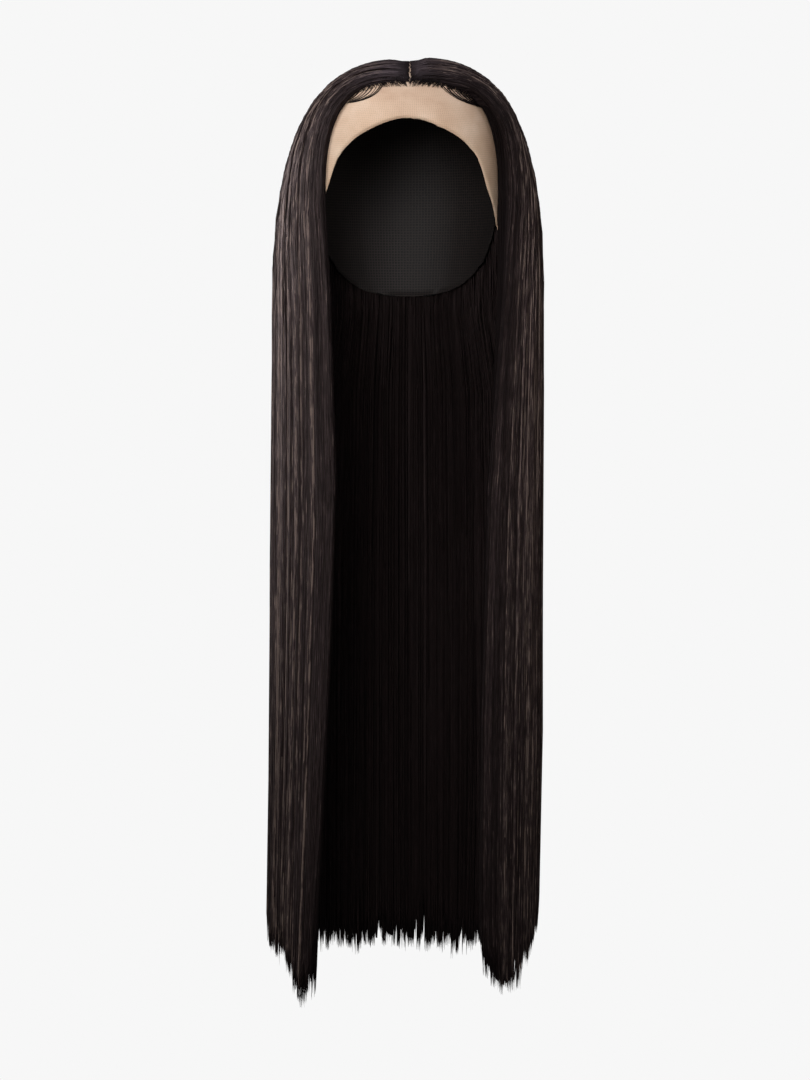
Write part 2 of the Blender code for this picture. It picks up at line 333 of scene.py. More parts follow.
def root_point(side, share):
    """Where the hair starts: along the parting, then on a small ring round its back end."""
    behind = np.maximum(0, share - SECTION_SPLIT) / (1 - SECTION_SPLIT)
    lift = mix(ROOT_LIFT[side], sum(ROOT_LIFT.values()) / 2, smooth(behind))
    turn = mix(CROWN_START, math.pi, behind)
    ahead = share <= SECTION_SPLIT
    x = np.where(ahead, PARTING_HALF_GAP, CROWN_RING * np.sin(turn)) * side
    along_parting = mix(HAIRLINE_Y, CROWN_END_Y, share / SECTION_SPLIT)
    waver = sum(np.sin(2 * math.pi * along_parting / wave) for wave in PARTING_WAVES)
    x = x + PARTING_X + PARTING_WAVER * waver * ahead
    y = np.where(ahead, along_parting, CROWN_END_Y - CROWN_RING * np.cos(turn))
    return np.stack([x, y, lift - head_drop_at(y)], -1)


def fall_drop(share):
    return mix(FRONT_FALL, SIDE_FALL, smooth(share / WIDEST_AT))


def draped_point(side, share, along):
    """Points on the outer face on the head, from the root, along 0, to the fall, at 1."""
    power = mix(FRONT_POWER, SIDE_POWER[side], smooth(share / WIDEST_AT))
    run = 1 - (1 - along) ** power
    root, fall = root_point(side, share), hang_point(side, share, fall_drop(share))
    point = mix(root, fall, run[..., None])
    height = (1 - run**power) ** (1 / power)
    point[..., 2] = mix(fall[..., 2], root[..., 2], height)
    from_parting = np.hypot(point[..., 0] - root[..., 0], point[..., 1] - root[..., 1])
    point[..., 2] -= PARTING_DIP * np.exp(-((from_parting / PARTING_SLOPE) ** 2))
    return point


def tip_drop(side, share):
    return table_value(LENGTHS, share, 1 if side < 0 else 2) * MM


DOME_ALONG = np.array([0, 0.012, 0.028, 0.05, 0.08, 0.12, 0.17, 0.24, 0.32, 0.41, 0.52, 0.66, 0.82])
HANG_RUN = np.array([0, 0.12, 0.4, 0.7, 0.965, 1.0])
DOMED = len(DOME_ALONG)
STATIONS = DOMED + len(HANG_RUN)
ROOT_RISE, ROOT_OFFSET = 0.05, 0.35 * MM


def hair_points(side, share, tip, depth, sink, along=DOME_ALONG[None, :]):
    """Points of hair paths, as [hair, station, xyz], and the directions that face outwards.

    share is an array of [hair, station]. depth, a share of the local thickness of the hair, and
    sink, a further distance inwards in metres, are arrays like it or single numbers. Every hair
    leaves the lace at its root and rises to its own depth within a centimetre or so.
    """
    head_part, hanging = share[:, :DOMED], share[:, DOMED:]
    along = along + 0 * head_part
    domed = draped_point(side, head_part, along)
    top = fall_drop(hanging)
    drop = mix(top, tip[:, None], HANG_RUN[None, :])
    points = np.concatenate([domed, hang_point(side, hanging, drop)], 1)
    on_head = mix(ROOT_THICKNESS, HEAD_THICKNESS, smooth(along / THICK_ALONG))
    below = mix(HEAD_THICKNESS, HANG_THICKNESS, smooth((drop - top) / THINNED_WITHIN))
    thickness = np.concatenate([on_head, below], 1)
    thickness *= mix(FRONT_EDGE_THICKNESS, 1, smooth(share / FRONT_EDGE_SHARE))
    axis = np.zeros_like(points)
    axis[..., 1] = HANG_CENTRE_Y
    axis[..., 2] = np.minimum(points[..., 2], -HEAD_MIDDLE)
    outward = points - axis
    reach = np.linalg.norm(outward, axis=-1)
    outward /= reach[..., None]
    least = head_reach(axis, outward, CAP_WALL + HAIR_CLEARANCE)
    inside = np.maximum(reach - thickness, least)
    reach = np.maximum(mix(reach, inside, depth) - sink, least)
    risen = np.concatenate([smooth(along / ROOT_RISE), np.ones_like(hanging)], 1)
    root = least + ROOT_OFFSET * (1 - depth)
    reach = mix(np.minimum(root, reach), reach, risen)
    return axis + outward * reach[..., None], outward


print("stations in a hair:", STATIONS)


# %% [markdown]
# ## Loose hair
#
# A real wig has about a hundred thousand hairs, far too many to model. What the eye reads at
# this distance is finer locks of a dozen hairs or so, so each strand here is one of those: a
# thin three-sided tube that tapers to a point. The strands of a lock drift together towards
# the tips, and some locks lie deeper than others, which draws the long dark lines between them.

# %% Strands
# How far apart two neighbours lie in the streak pattern, so that no two hairs look alike
HAIR_APART = 7.31

# A lock's strands drift together from a share of their length on. A sway is in shares of the
# way round, or of the thickness for the depth, and a share of the strands is cut short.
DRIFT_START, HAIR_SWAY, LOCK_SWAY, DEPTH_SWAY = 0.25, 0.004, 0.003, 0.06
DEEP_LOCK_POWER, LOCK_TIP, LOCK_TONE_SHARE = 1.6, 4 * MM, 0.35
CUT_SHORT_SHARE, CUT_SHORT = 0.12, 45 * MM

# Where strands start along their path, how far their stations are moved on and how they wave
FIRST_ALONG, STAGGER, WAVE_HEIGHT, WAVES_PER_SWAY = 0.006, 0.9, 0.35 * MM, 3.1
TIP_TAPER, ROOT_TAPER = 0.12, 0.6

# The strands nearest the front edge of each curtain lie in its shade, so they are darker
FRONT_SHADE, FRONT_SHADE_SHARE = 0.65, 0.055


def lay_along(mesh, numbers, lengths, corners):
    """Each hair's own number and the length along it in metres, as an attribute."""
    place = np.stack([numbers[:, None] * HAIR_APART + 0 * lengths, lengths, 0 * lengths], -1)
    place = np.repeat(place.reshape(-1, 3), corners, 0).astype(np.float32)
    attribute = mesh.attributes.new("along_hair", "FLOAT_VECTOR", "POINT")
    attribute.data.foreach_set("vector", place.ravel())


def tube_faces(count, stations):
    """The vertices of each face in turn, and the size of each face, of closed three-sided tubes."""
    first = (np.arange(count) * stations * 3)[:, None, None]
    ring = (np.arange(stations - 1) * 3)[None, :, None]
    corner = np.arange(3)[None, None, :]
    after = (corner + 1) % 3
    a, b = first + ring + corner, first + ring + after
    quads = np.stack([a, b, b + 3, a + 3], -1).reshape(-1, 4)
    start = first[:, 0, 0]
    end = start + (stations - 1) * 3
    caps = np.concatenate(
        [np.stack([start + 2, start + 1, start], -1), np.stack([end, end + 1, end + 2], -1)]
    )
    loops = np.concatenate([quads.ravel(), caps.ravel()])
    return loops, np.concatenate([np.full(len(quads), 4), np.full(len(caps), 3)])


def strand_mesh(name, paths, outward, radii, tone):
    """One mesh of closed three-sided tubes along paths, with each strand's tone as an attribute."""
    count, stations, _ = paths.shape
    tangent = np.gradient(paths, axis=1)
    tangent /= np.linalg.norm(tangent, axis=-1, keepdims=True)
    across = np.cross(tangent, outward)
    across /= np.maximum(np.linalg.norm(across, axis=-1, keepdims=True), 1e-9)
    up = np.cross(across, tangent)
    corners = []
    for turn in np.radians([90, 210, 330]):
        corners.append(paths + radii[..., None] * (math.cos(turn) * across + math.sin(turn) * up))
    verts = np.stack(corners, 2).reshape(-1, 3)
    loops, sizes = tube_faces(count, stations)
    mesh = bpy.data.meshes.new(name)
    mesh.vertices.add(len(verts))
    mesh.vertices.foreach_set("co", verts.ravel())
    mesh.loops.add(len(loops))
    mesh.loops.foreach_set("vertex_index", loops.astype(np.int32))
    mesh.polygons.add(len(sizes))
    starts = np.concatenate([[0], np.cumsum(sizes)[:-1]])
    mesh.polygons.foreach_set("loop_start", starts.astype(np.int32))
    mesh.polygons.foreach_set("use_smooth", np.ones(len(sizes), bool))
    mesh.update()
    tones = mesh.attributes.new("tone", "FLOAT", "POINT")
    tones.data.foreach_set("value", np.repeat(tone, stations * 3).astype(np.float32))
    steps = np.linalg.norm(np.diff(paths, axis=1), axis=-1)
    lengths = np.concatenate([np.zeros((count, 1)), np.cumsum(steps, axis=1)], 1)
    lay_along(mesh, np.arange(count), lengths, 3)
    return add_object(name, mesh)


def varied(radius, rng, count):
    """A radius for each hair, near the usual one."""
    return radius * rng.uniform(0.7, 1.3, (count, 1))


def lock_paths(side, count, rng, shares, depths, sinks, lock_width, tip_cut, gather):
    """Shares, tips, depths, sinks, tones and sways of strands in locks, and their common run."""
    low, high = shares
    root = rng.uniform(low, high, count)
    locks = max(2, int((high - low) / lock_width))
    centres = np.sort(rng.uniform(low, high, locks))
    near = np.abs(root[:, None] - centres[None, :]).argmin(1)
    lock_sink = rng.uniform(0, 1, locks) ** DEEP_LOCK_POWER
    lock_tip = rng.normal(0, 1, locks)
    lock_tone = rng.uniform(0, 1, locks)
    run = np.linspace(0, 1, STATIONS)[None, :]
    drifting = smooth((run - DRIFT_START) / (1 - DRIFT_START))
    pull = gather * drifting * rng.uniform(0.1, 1, (count, 1))
    share = root[:, None] + (centres[near] - root)[:, None] * pull
    sway = rng.uniform(0, 1, (count, 1)) + run * rng.uniform(0.8, 2.6, (count, 1))
    swayed = HAIR_SWAY * run * np.sin(2 * math.pi * sway)
    share = share + swayed * rng.uniform(0.3, 1, (count, 1))
    lock_sway = rng.uniform(0, 1, (locks, 1))[near] + run * 1.3
    share = share + LOCK_SWAY * run * np.sin(2 * math.pi * lock_sway)
    share = np.clip(high - np.abs(high - (low + np.abs(share - low))), low, high)
    depth = rng.uniform(*depths, (count, 1)) + 0 * run
    depth = np.clip(depth + DEPTH_SWAY * np.sin(2 * math.pi * (sway * 0.7 + 0.3)), 0, 1)
    sink = mix(*sinks, lock_sink[near])[:, None] * smooth(run * 5) + 0 * depth
    short = np.abs(rng.normal(0, 1, count)) * tip_cut * MM
    short += (rng.uniform(0, 1, count) < CUT_SHORT_SHARE) * rng.uniform(0, CUT_SHORT, count)
    tip = tip_drop(side, share[:, -1]) - short + lock_tip[near] * LOCK_TIP
    own_tone = rng.uniform(0, 1, count)
    tone = LOCK_TONE_SHARE * lock_tone[near] + (1 - LOCK_TONE_SHARE) * own_tone
    return share, tip, depth, sink, tone, sway, run


def staggered(rng, count):
    """Each strand's stations on the head, moved on a little, so that no two bend in one place."""
    after = np.append(DOME_ALONG[1:], 1.0)
    after[0] = 0
    return DOME_ALONG[None, :] + rng.uniform(0, STAGGER, (count, 1)) * (after - DOME_ALONG)[None, :]


def grow_strands(name, side, count, seed, radius, tones, **lock_settings):
    """Strands that start at the parting and hang to their tips."""
    rng = np.random.default_rng(seed)
    share, tip, depth, sink, tone, sway, run = lock_paths(side, count, rng, **lock_settings)
    start = rng.uniform(0, FIRST_ALONG, (count, 1))
    along = start + (1 - start) * staggered(rng, count)
    paths, outward = hair_points(side, share, tip, depth, sink, along)
    wave = WAVE_HEIGHT * smooth(run * 2) * np.sin(2 * math.pi * (sway * WAVES_PER_SWAY))
    paths = paths + outward * wave[..., None]
    taper = np.clip((1 - run) * STATIONS, TIP_TAPER, 1) * mix(ROOT_TAPER, 1, smooth(run * 6))
    radii = varied(radius, rng, count) * taper
    shade = FRONT_SHADE * smooth(1 - share[:, -1] / FRONT_SHADE_SHARE)
    piece = strand_mesh(name, paths, outward, radii, mix(*tones, tone) - shade)
    print(name, "strands", count, "triangles", count * ((STATIONS - 1) * 6 + 2))
    return piece


# %% [markdown]
# ## The hair's finish
#
# Dark brown-black human hair is nearly black in the body, with a soft sheen across it. Each
# strand has its own tone, with painted shade near the root, and a streak of noise along it stands
# for the hairs inside: where a streak is pale the hair lies flat, shines and is painted lighter
# as a sheen, and where it is dark the hair is ruffled and stays dull. Both run in the strand's own
# length, so they never slide.

# %% Hair material
# The dark stops are the hair's own colour, and the pale stops are partly a painted sheen
HAIR_TONES_AND_SHEEN = (
    (0.0, "#050404"),
    (0.3, "#110c0c"),
    (0.6, "#2a2222"),
    (0.82, "#4a3f3c"),
    (1.0, "#706159"),
)
# The streaks' length, then how far from the root the painted root shade reaches and how dark it is
STREAK_LENGTH, ROOT_SHADE_LENGTH, ROOT_SHADE_TONE = 20 * MM, 24 * MM, 0.35
# The streaked tones at which the hair is dullest and shiniest, each with its roughness
DULLEST, SHINIEST = (-0.5, 0.95), (0.7, 0.33)
SHEEN_TINT = "#ffdcda"


def hair_material(name, strength, specular):
    """A finish for hair, with the strength of its streaks and of its sheen."""
    material, shader = new_material(name)
    tone = add_node(material, "ShaderNodeAttribute", {"attribute_name": "tone"})
    place = add_node(material, "ShaderNodeAttribute", {"attribute_name": "along_hair"})
    stretched = add_node(
        material,
        "ShaderNodeMapping",
        None,
        Vector=place.outputs["Vector"],
        Scale=(1, 1 / STREAK_LENGTH, 1),
    )
    streak = add_node(
        material,
        "ShaderNodeTexNoise",
        {"noise_dimensions": "2D"},
        Vector=stretched.outputs[0],
        Scale=1.0,
        Detail=3.0,
    )
    blend = math_node(
        material, "MULTIPLY_ADD", streak.outputs["Fac"], strength, tone.outputs["Fac"]
    )
    shifted = math_node(material, "SUBTRACT", blend, strength / 2)
    parts = add_node(material, "ShaderNodeSeparateXYZ", None, Vector=place.outputs["Vector"])
    # Painted shade: the colour darkens towards the root, where the hair leaves the cap
    root_shade = map_range(material, parts.outputs["Y"], (0, ROOT_SHADE_TONE), (ROOT_SHADE_LENGTH, 1))
    shown = math_node(material, "MULTIPLY", shifted, root_shade)
    # Where the streaked tone is pale, the colour is partly a painted sheen
    link(material, ramp(material, shown, HAIR_TONES_AND_SHEEN), shader.inputs["Base Color"])
    gloss = map_range(material, shown, DULLEST, SHINIEST)
    link(material, gloss, shader.inputs["Roughness"])
    shader.inputs["Specular IOR Level"].default_value = specular
    shader.inputs["Specular Tint"].default_value = linear(SHEEN_TINT)
    return material


hair_finish = hair_material("dark_human_hair", strength=1.9, specular=0.34)
shaded_finish = hair_material("inner_human_hair", strength=0.6, specular=0.22)


# %% [markdown]
# ## The mass beneath
#
# The loose strands alone would let the light through. Real hair has a dense body under its
# surface, so each section gets one closed shell just inside the strands, made from the same
# paths, with its lower edge cut to uneven points that stop short of the strands' tips.

# %% Mass of hair
# The mass's low tone is painted shade for the inside of the hair, darker than the loose strands
MASS_SHADE_TONE, MASS_SEED, TUFT_COLUMNS = 0.15, 10, 4
# How deep each column's notch in the hem is at least, and what a tuft and a column can add
NOTCH, TUFT_NOTCH, COLUMN_NOTCH = 3 * MM, 12 * MM, 30 * MM
# The shell's two faces, how far the outer one keeps under the strands, and its thin hem
FACE_DEPTH, BACK_DEPTH, FACE_SINK, HEM_TAPER = 0.1, 0.9, 1.8 * MM, (0.8, 0.15)
# The length in metres that the streaks run on a shell
STREAKED_LENGTH = 0.8


def shell_faces(shape, face, back):
    """Faces that close a shell between two grids of vertices, each as columns of stations."""
    last = len(face[0]) - 1
    for i in range(len(face) - 1):
        for j in range(last):
            shape.faces.new((face[i][j], face[i][j + 1], face[i + 1][j + 1], face[i + 1][j]))
            shape.faces.new((back[i][j], back[i + 1][j], back[i + 1][j + 1], back[i][j + 1]))
        shape.faces.new((face[i][0], face[i + 1][0], back[i + 1][0], back[i][0]))
        shape.faces.new((face[i][last], back[i][last], back[i + 1][last], face[i + 1][last]))
    for j in range(last):
        shape.faces.new((face[0][j], back[0][j], back[0][j + 1], face[0][j + 1]))
        shape.faces.new((face[-1][j], face[-1][j + 1], back[-1][j + 1], back[-1][j]))


def hair_mass(name, columns, seed):
    """A closed shell through columns of (side, share)."""
    rng = np.random.default_rng(seed)
    count = len(columns)
    outer, inner = np.zeros((count, STATIONS, 3)), np.zeros((count, STATIONS, 3))
    tufts = np.repeat(rng.uniform(0, 1, count // TUFT_COLUMNS + 1), TUFT_COLUMNS)[:count]
    notch = NOTCH + TUFT_NOTCH * tufts + COLUMN_NOTCH * rng.uniform(0, 1, count) ** 2
    for side in (-1, 1):
        rows = [i for i, column in enumerate(columns) if column[0] == side]
        if not rows:
            continue
        share = np.array([columns[i][1] for i in rows])[:, None] + np.zeros((1, STATIONS))
        tip = tip_drop(side, share[:, -1]) - notch[rows]
        outer[rows] = hair_points(side, share, tip, FACE_DEPTH, FACE_SINK)[0]
        inner[rows] = hair_points(side, share, tip, BACK_DEPTH, 0)[0]
    middle = (outer + inner) / 2
    ends = np.ones(STATIONS)
    ends[-2:] = HEM_TAPER
    outer = middle + (outer - middle) * ends[None, :, None]
    inner = middle + (inner - middle) * ends[None, :, None]
    shape = bmesh.new()
    rings = []
    for points in (outer, inner):
        rings.append([[shape.verts.new(point) for point in column] for column in points])
    shell_faces(shape, *rings)
    bmesh.ops.recalc_face_normals(shape, faces=shape.faces)
    if shape.calc_volume(signed=True) < 0:
        bmesh.ops.reverse_faces(shape, faces=shape.faces)
    for one in shape.faces:
        one.smooth = True
    mesh = bpy.data.meshes.new(name)
    shape.to_mesh(mesh)
    shape.free()
    tones = mesh.attributes.new("tone", "FLOAT", "POINT")
    tones.data.foreach_set("value", np.full(len(mesh.vertices), MASS_SHADE_TONE, np.float32))
    down = np.linspace(0, STREAKED_LENGTH, STATIONS)[None, :] + np.zeros((2 * count, 1))
    lay_along(mesh, np.tile(np.arange(count), 2), down, 1)
    return add_object(name, mesh)


COLUMNS, FRONT_COLUMN = 160, 0.004
spread = np.linspace(FRONT_COLUMN, SECTION_SPLIT, COLUMNS)
behind = np.linspace(SECTION_SPLIT, 1, COLUMNS // 2)
sections = {
    "hair_left": [(-1, share) for share in spread],
    "hair_right": [(1, share) for share in spread],
    "hair_back": [(-1, share) for share in behind] + [(1, share) for share in behind[-2::-1]],
}
for number, (node, columns) in enumerate(sections.items()):
    piece = hair_mass(node + "_mass", columns, MASS_SEED + number)
    piece.data.materials.append(shaded_finish)
    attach(piece, "root")
    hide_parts(node)
    print(piece.name, "faces", len(piece.data.polygons))


# %% Grow the hair
# Depths are shares of the thickness, a lock's width is a share of the way round, and the cut
# is the usual unevenness of the tips in mm
OUTER = dict(depths=(0.0, 0.12), sinks=(0.0, 2.6 * MM), lock_width=0.011, tip_cut=7, gather=0.5)
EDGE = dict(depths=(0.0, 1.0), sinks=(0.0, 0.6 * MM), lock_width=0.002, tip_cut=9, gather=0.5)
INNER = dict(depths=(0.82, 1.0), sinks=(0.0, 1.0 * MM), lock_width=0.016, tip_cut=12, gather=0.5)
SIDE_SHARES, BACK_SHARES, EDGE_SHARES = (0.0, SECTION_SPLIT), (SECTION_SPLIT, 1.0), (0.0, 0.004)
FULL_TONES, SHADED_TONES = (-0.08, 1.08), (0.05, 0.32)
STRAND_SEED = 40

# name, side, shares, count, radius in mm, tones, how they lie, finish
STRANDS = (
    ("left_outer", -1, SIDE_SHARES, 1800, 0.4, FULL_TONES, OUTER, hair_finish),
    ("right_outer", 1, SIDE_SHARES, 1800, 0.4, FULL_TONES, OUTER, hair_finish),
    ("back_outer_left", -1, BACK_SHARES, 900, 0.4, FULL_TONES, OUTER, hair_finish),
    ("back_outer_right", 1, BACK_SHARES, 900, 0.4, FULL_TONES, OUTER, hair_finish),
    ("left_edge", -1, EDGE_SHARES, 20, 0.44, FULL_TONES, EDGE, hair_finish),
    ("right_edge", 1, EDGE_SHARES, 24, 0.44, FULL_TONES, EDGE, hair_finish),
    ("left_inner", -1, SIDE_SHARES, 460, 0.6, SHADED_TONES, INNER, shaded_finish),
    ("right_inner", 1, SIDE_SHARES, 460, 0.6, SHADED_TONES, INNER, shaded_finish),
    ("back_inner_left", -1, BACK_SHARES, 330, 0.6, SHADED_TONES, INNER, shaded_finish),
    ("back_inner_right", 1, BACK_SHARES, 330, 0.6, SHADED_TONES, INNER, shaded_finish),
)
for number, (name, side, shares, count, radius, tones, lie, finish) in enumerate(STRANDS):
    seed = STRAND_SEED + number
    piece = grow_strands(
        "strands_" + name, side, count, seed, radius * MM, tones, shares=shares, **lie
    )
    piece.data.materials.append(finish)
    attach(piece, "root")


# %% [markdown]
# ## The lace front and the net cap
#
# The front of the cap is a sheer tan lace, cut to a soft arch across the forehead with a tab
# in front of each ear. The rest is a dark stretch net with rows of machine-sewn hair. Both
# start as a ball, cut in half and pressed into the head's form, then cut at the seam and given
# a wall. Working from a ball keeps the mesh even, with one closed pole at the crown.

# %% Cap pieces
JUST_BELOW_EQUATOR = -1e-4


def vertex_places(piece):
    co = np.zeros(len(piece.data.vertices) * 3)
    piece.data.vertices.foreach_get("co", co)
    return co.reshape(-1, 3)


def cap_shape(name, front, segments, rings):
    """The front or the back of the cap, as one sheet without thickness."""
    select_nothing()
    bpy.ops.mesh.primitive_uv_sphere_add(segments=segments, ring_count=rings, radius=1)
    piece = bpy.context.object
    piece.name = name
    piece.data.name = name
    bpy.ops.object.mode_set(mode="EDIT")
    bpy.ops.mesh.select_all(action="SELECT")
    bpy.ops.mesh.bisect(
        plane_co=(0, 0, JUST_BELOW_EQUATOR), plane_no=(0, 0, 1), clear_inner=True
    )
    bpy.ops.object.mode_set(mode="OBJECT")
    co = vertex_places(piece)
    share = np.arccos(np.clip(co[:, 2], 0, 1)) / (math.pi / 2)
    azimuth = np.arctan2(co[:, 0], -co[:, 1])
    edge = table_value(CAP_EDGE, np.degrees(np.abs(azimuth)), 1) * MM
    drop = dome_drop(edge, share)
    radius = head_plan_radius(azimuth) * head_share(drop)
    made = np.stack([radius * np.sin(azimuth), -radius * np.cos(azimuth), -drop], -1)
    piece.data.vertices.foreach_set("co", made.ravel())
    piece.data.update()
    seam = SEAM_BEHIND_CROWN if front else SEAM_BEHIND_CROWN + PIECE_GAP
    bpy.ops.object.mode_set(mode="EDIT")
    bpy.ops.mesh.select_all(action="SELECT")
    bpy.ops.mesh.bisect(
        plane_co=(0, seam, 0), plane_no=(0, 1, 0), clear_outer=front, clear_inner=not front
    )
    bpy.ops.mesh.select_all(action="SELECT")
    bpy.ops.mesh.normals_make_consistent(inside=False)
    bpy.ops.object.mode_set(mode="OBJECT")
    return piece


lace = cap_shape("lace_sheet", front=True, segments=120, rings=64)
net = cap_shape("net_cap", front=False, segments=120, rings=80)


# %% [markdown]
# The dark net has the hair sewn to it in rows. Inside the cap each row shows as a low ridge, so
# the vertices near a row are pulled inwards a little before the wall is added.

# %% Sewn rows and walls
ROW_SPACING, ROW_WIDTH, ROW_HEIGHT = 12 * MM, 3.2 * MM, 0.9 * MM
ROWS_FROM, ROWS_FADE_IN = 30 * MM, 10 * MM
LACE_WALL, NET_WALL = 0.6 * MM, 0.9 * MM
MEAN_HEAD_RADIUS = 85 * MM


def lay_cloth_grid(piece):
    """The cloth's own directions as an attribute: metres round the head, then metres down."""
    co = vertex_places(piece)
    facing = 1 if piece is net else -1
    around = np.arctan2(co[:, 0], co[:, 1] * facing) * MEAN_HEAD_RADIUS
    dome = HEAD_DOME * np.arccos(np.clip(1 + co[:, 2] / HEAD_DOME, 0, 1))
    down = dome + np.maximum(-co[:, 2] - HEAD_DOME, 0)
    grid = piece.data.attributes.new("cloth", "FLOAT_VECTOR", "POINT")
    grid.data.foreach_set("vector", np.stack([around, down, 0 * down], -1).ravel())
    return down


down = lay_cloth_grid(net)
lay_cloth_grid(lace)
co = vertex_places(net)
inward = co - np.array([0, HANG_CENTRE_Y, -HEAD_DOME])
inward[:, 2] = np.maximum(inward[:, 2], 0)
inward /= -np.linalg.norm(inward, axis=1, keepdims=True)
from_row = np.abs((down / ROW_SPACING + 0.5) % 1 - 0.5) * ROW_SPACING
ridge = ROW_HEIGHT * smooth(1 - from_row / ROW_WIDTH) * smooth((down - ROWS_FROM) / ROWS_FADE_IN)
net.data.vertices.foreach_set("co", (co + inward * ridge[:, None]).ravel())
for piece, wall in ((lace, LACE_WALL), (net, NET_WALL)):
    apply_modifier(piece, "SOLIDIFY", thickness=wall, offset=1.0, use_even_offset=False)
    for polygon in piece.data.polygons:
        polygon.use_smooth = True
    print(piece.name, "faces", len(piece.data.polygons))


# %% Lace and net materials
# Real holes are under a millimetre. They are drawn coarser, so that they show in the picture.
LACE_HOLES, NET_HOLES = (1.7 * MM, 0.35), (2.2 * MM, 0.15)
LACE_TINTS = ((0.3, "#c3a186"), (0.5, "#d1b297"), (0.7, "#dec3aa"))
NET_TINTS = ((0.04, "#2a2321"), (0.2, "#131010"), (0.4, "#0b0909"))
# How far from its edge a hole begins and is fully open, each with the lace's opacity there
THREAD, OPEN_HOLE = (0.05, 1.0), (0.30, 0.82)


def cloth_holes(material, spacing, randomness):
    """The distance from a hole's thread in a net of this spacing, in the cloth's directions."""
    place = add_node(material, "ShaderNodeAttribute", {"attribute_name": "cloth"})
    cells = add_node(
        material,
        "ShaderNodeTexVoronoi",
        {"feature": "DISTANCE_TO_EDGE", "voronoi_dimensions": "2D"},
        Vector=place.outputs["Vector"],
        Scale=1 / spacing,
        Randomness=randomness,
    )
    return place.outputs["Vector"], cells.outputs["Distance"]


def lace_material():
    material, shader = new_material("sheer_tan_lace")
    place, holes = cloth_holes(material, *LACE_HOLES)
    cloud = add_node(material, "ShaderNodeTexNoise", None, Vector=place, Scale=28.0, Detail=4.0)
    tan = ramp(material, cloud.outputs["Fac"], LACE_TINTS)
    link(material, tan, shader.inputs["Base Color"])
    thread = map_range(material, holes, THREAD, OPEN_HOLE)
    link(material, thread, shader.inputs["Alpha"])
    bump = add_node(
        material, "ShaderNodeBump", None, Height=thread, Strength=0.35, Distance=0.2 * MM
    )
    link(material, bump.outputs["Normal"], shader.inputs["Normal"])
    shader.inputs["Roughness"].default_value = 0.75
    shader.inputs["Specular IOR Level"].default_value = 0.25
    return material


def net_material():
    material, shader = new_material("black_stretch_net")
    _, holes = cloth_holes(material, *NET_HOLES)
    shade = ramp(material, holes, NET_TINTS)
    link(material, shade, shader.inputs["Base Color"])
    bump = add_node(
        material, "ShaderNodeBump", {"invert": True}, Height=holes, Strength=0.5, Distance=0.4 * MM
    )
    link(material, bump.outputs["Normal"], shader.inputs["Normal"])
    shader.inputs["Roughness"].default_value = 0.7
    shader.inputs["Specular IOR Level"].default_value = 0.3
    return material


lace.data.materials.append(lace_material())
net.data.materials.append(net_material())
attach(lace, "root")
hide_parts("lace_front")
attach(net, "root")
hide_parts("wig_cap")


def sheet_area(piece):
    """The cloth's area. Its wall has two faces, so that is half of the surface."""
    return sum(polygon.area for polygon in piece.data.polygons) / 2


print("cloth areas", round(sheet_area(lace), 4), round(sheet_area(net), 4))


# %% [markdown]
# ## Baby hair
#
# At each temple some short hairs are laid flat on the lace in a swoop. Each is one fine tube on
# a curve drawn across the forehead: it leaves the hairline, dips and runs out to the side.

# %% Laid hairs
def forehead_point(side, across, drop, offset):
    """Points on the front of the head, and the directions that face outwards there."""
    share = head_share(drop)
    run = np.clip(across / (HEAD_HALF_WIDTH * share), 0, 0.999) ** HEAD_PLAN_POWER
    y = -HEAD_HALF_DEPTH * share * (1 - run) ** (1 / HEAD_PLAN_POWER)
    point = np.stack([side * across, y, -drop], -1)
    outward = np.stack(
        [
            side * across / HEAD_HALF_WIDTH**2,
            y / HEAD_HALF_DEPTH**2,
            (HEAD_DOME - drop) / HEAD_DOME**2,
        ],
        -1,
    )
    outward /= np.linalg.norm(outward, axis=-1, keepdims=True)
    return point + outward * offset[..., None], outward


# Where the first and last hair of each swoop start, bend and end: distance from the middle
# and drop below the crown, in mm
SWOOPS = {
    -1: (((19, 20.5), (24, 34.5), (51.5, 35.0)), ((44, 26), (47, 30.5), (52, 33.5))),
    1: (((25, 20.5), (33, 33.0), (62, 38.5)), ((54, 31), (56, 34.0), (62, 37.0))),
}
CURLS, HAIRS_IN_CURL = 9, 4
LAID_STATIONS, LAID_RADIUS, LAID_SEED = 14, 0.17 * MM, 70
ABOVE_LACE, FINE_TONES = 0.2 * MM, (0, 0.35)


def laid_hairs(name, side, seed):
    """Short hairs in a swoop, in a few curls of several hairs each."""
    rng = np.random.default_rng(seed)
    run = np.linspace(0, 1, LAID_STATIONS)[None, :]
    first, final = (np.array(swoop) for swoop in SWOOPS[side])
    place = np.repeat(np.linspace(0, 1, CURLS) ** 1.2, HAIRS_IN_CURL)
    place = place + rng.normal(0, 0.012, len(place))
    start, bend, end = [mix(first[i], final[i], place[:, None])[:, None, :] for i in range(3)]
    bend = bend + rng.normal(0, 0.35, (len(place), 1, 2))
    stop = (rng.uniform(0.72, 1.0, (len(place), 1)) * run)[..., None]
    curve = (start * (1 - stop) ** 2 + bend * (2 * stop * (1 - stop)) + end * stop**2) * MM
    offset = LACE_WALL + ABOVE_LACE + rng.uniform(0, 0.3, (len(place), 1)) * MM + 0 * run
    paths, outward = forehead_point(side, curve[..., 0], curve[..., 1], offset)
    radii = varied(LAID_RADIUS, rng, len(place)) * np.clip((1.04 - run) * 4, 0.25, 1)
    return strand_mesh(name, paths, outward, radii, rng.uniform(*FINE_TONES, len(place)))


for side, name in ((-1, "baby_hair_left"), (1, "baby_hair_right")):
    piece = laid_hairs(name + "_strands", side, LAID_SEED + side)
    piece.data.materials.append(shaded_finish)
    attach(piece, "root")
    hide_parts(name)


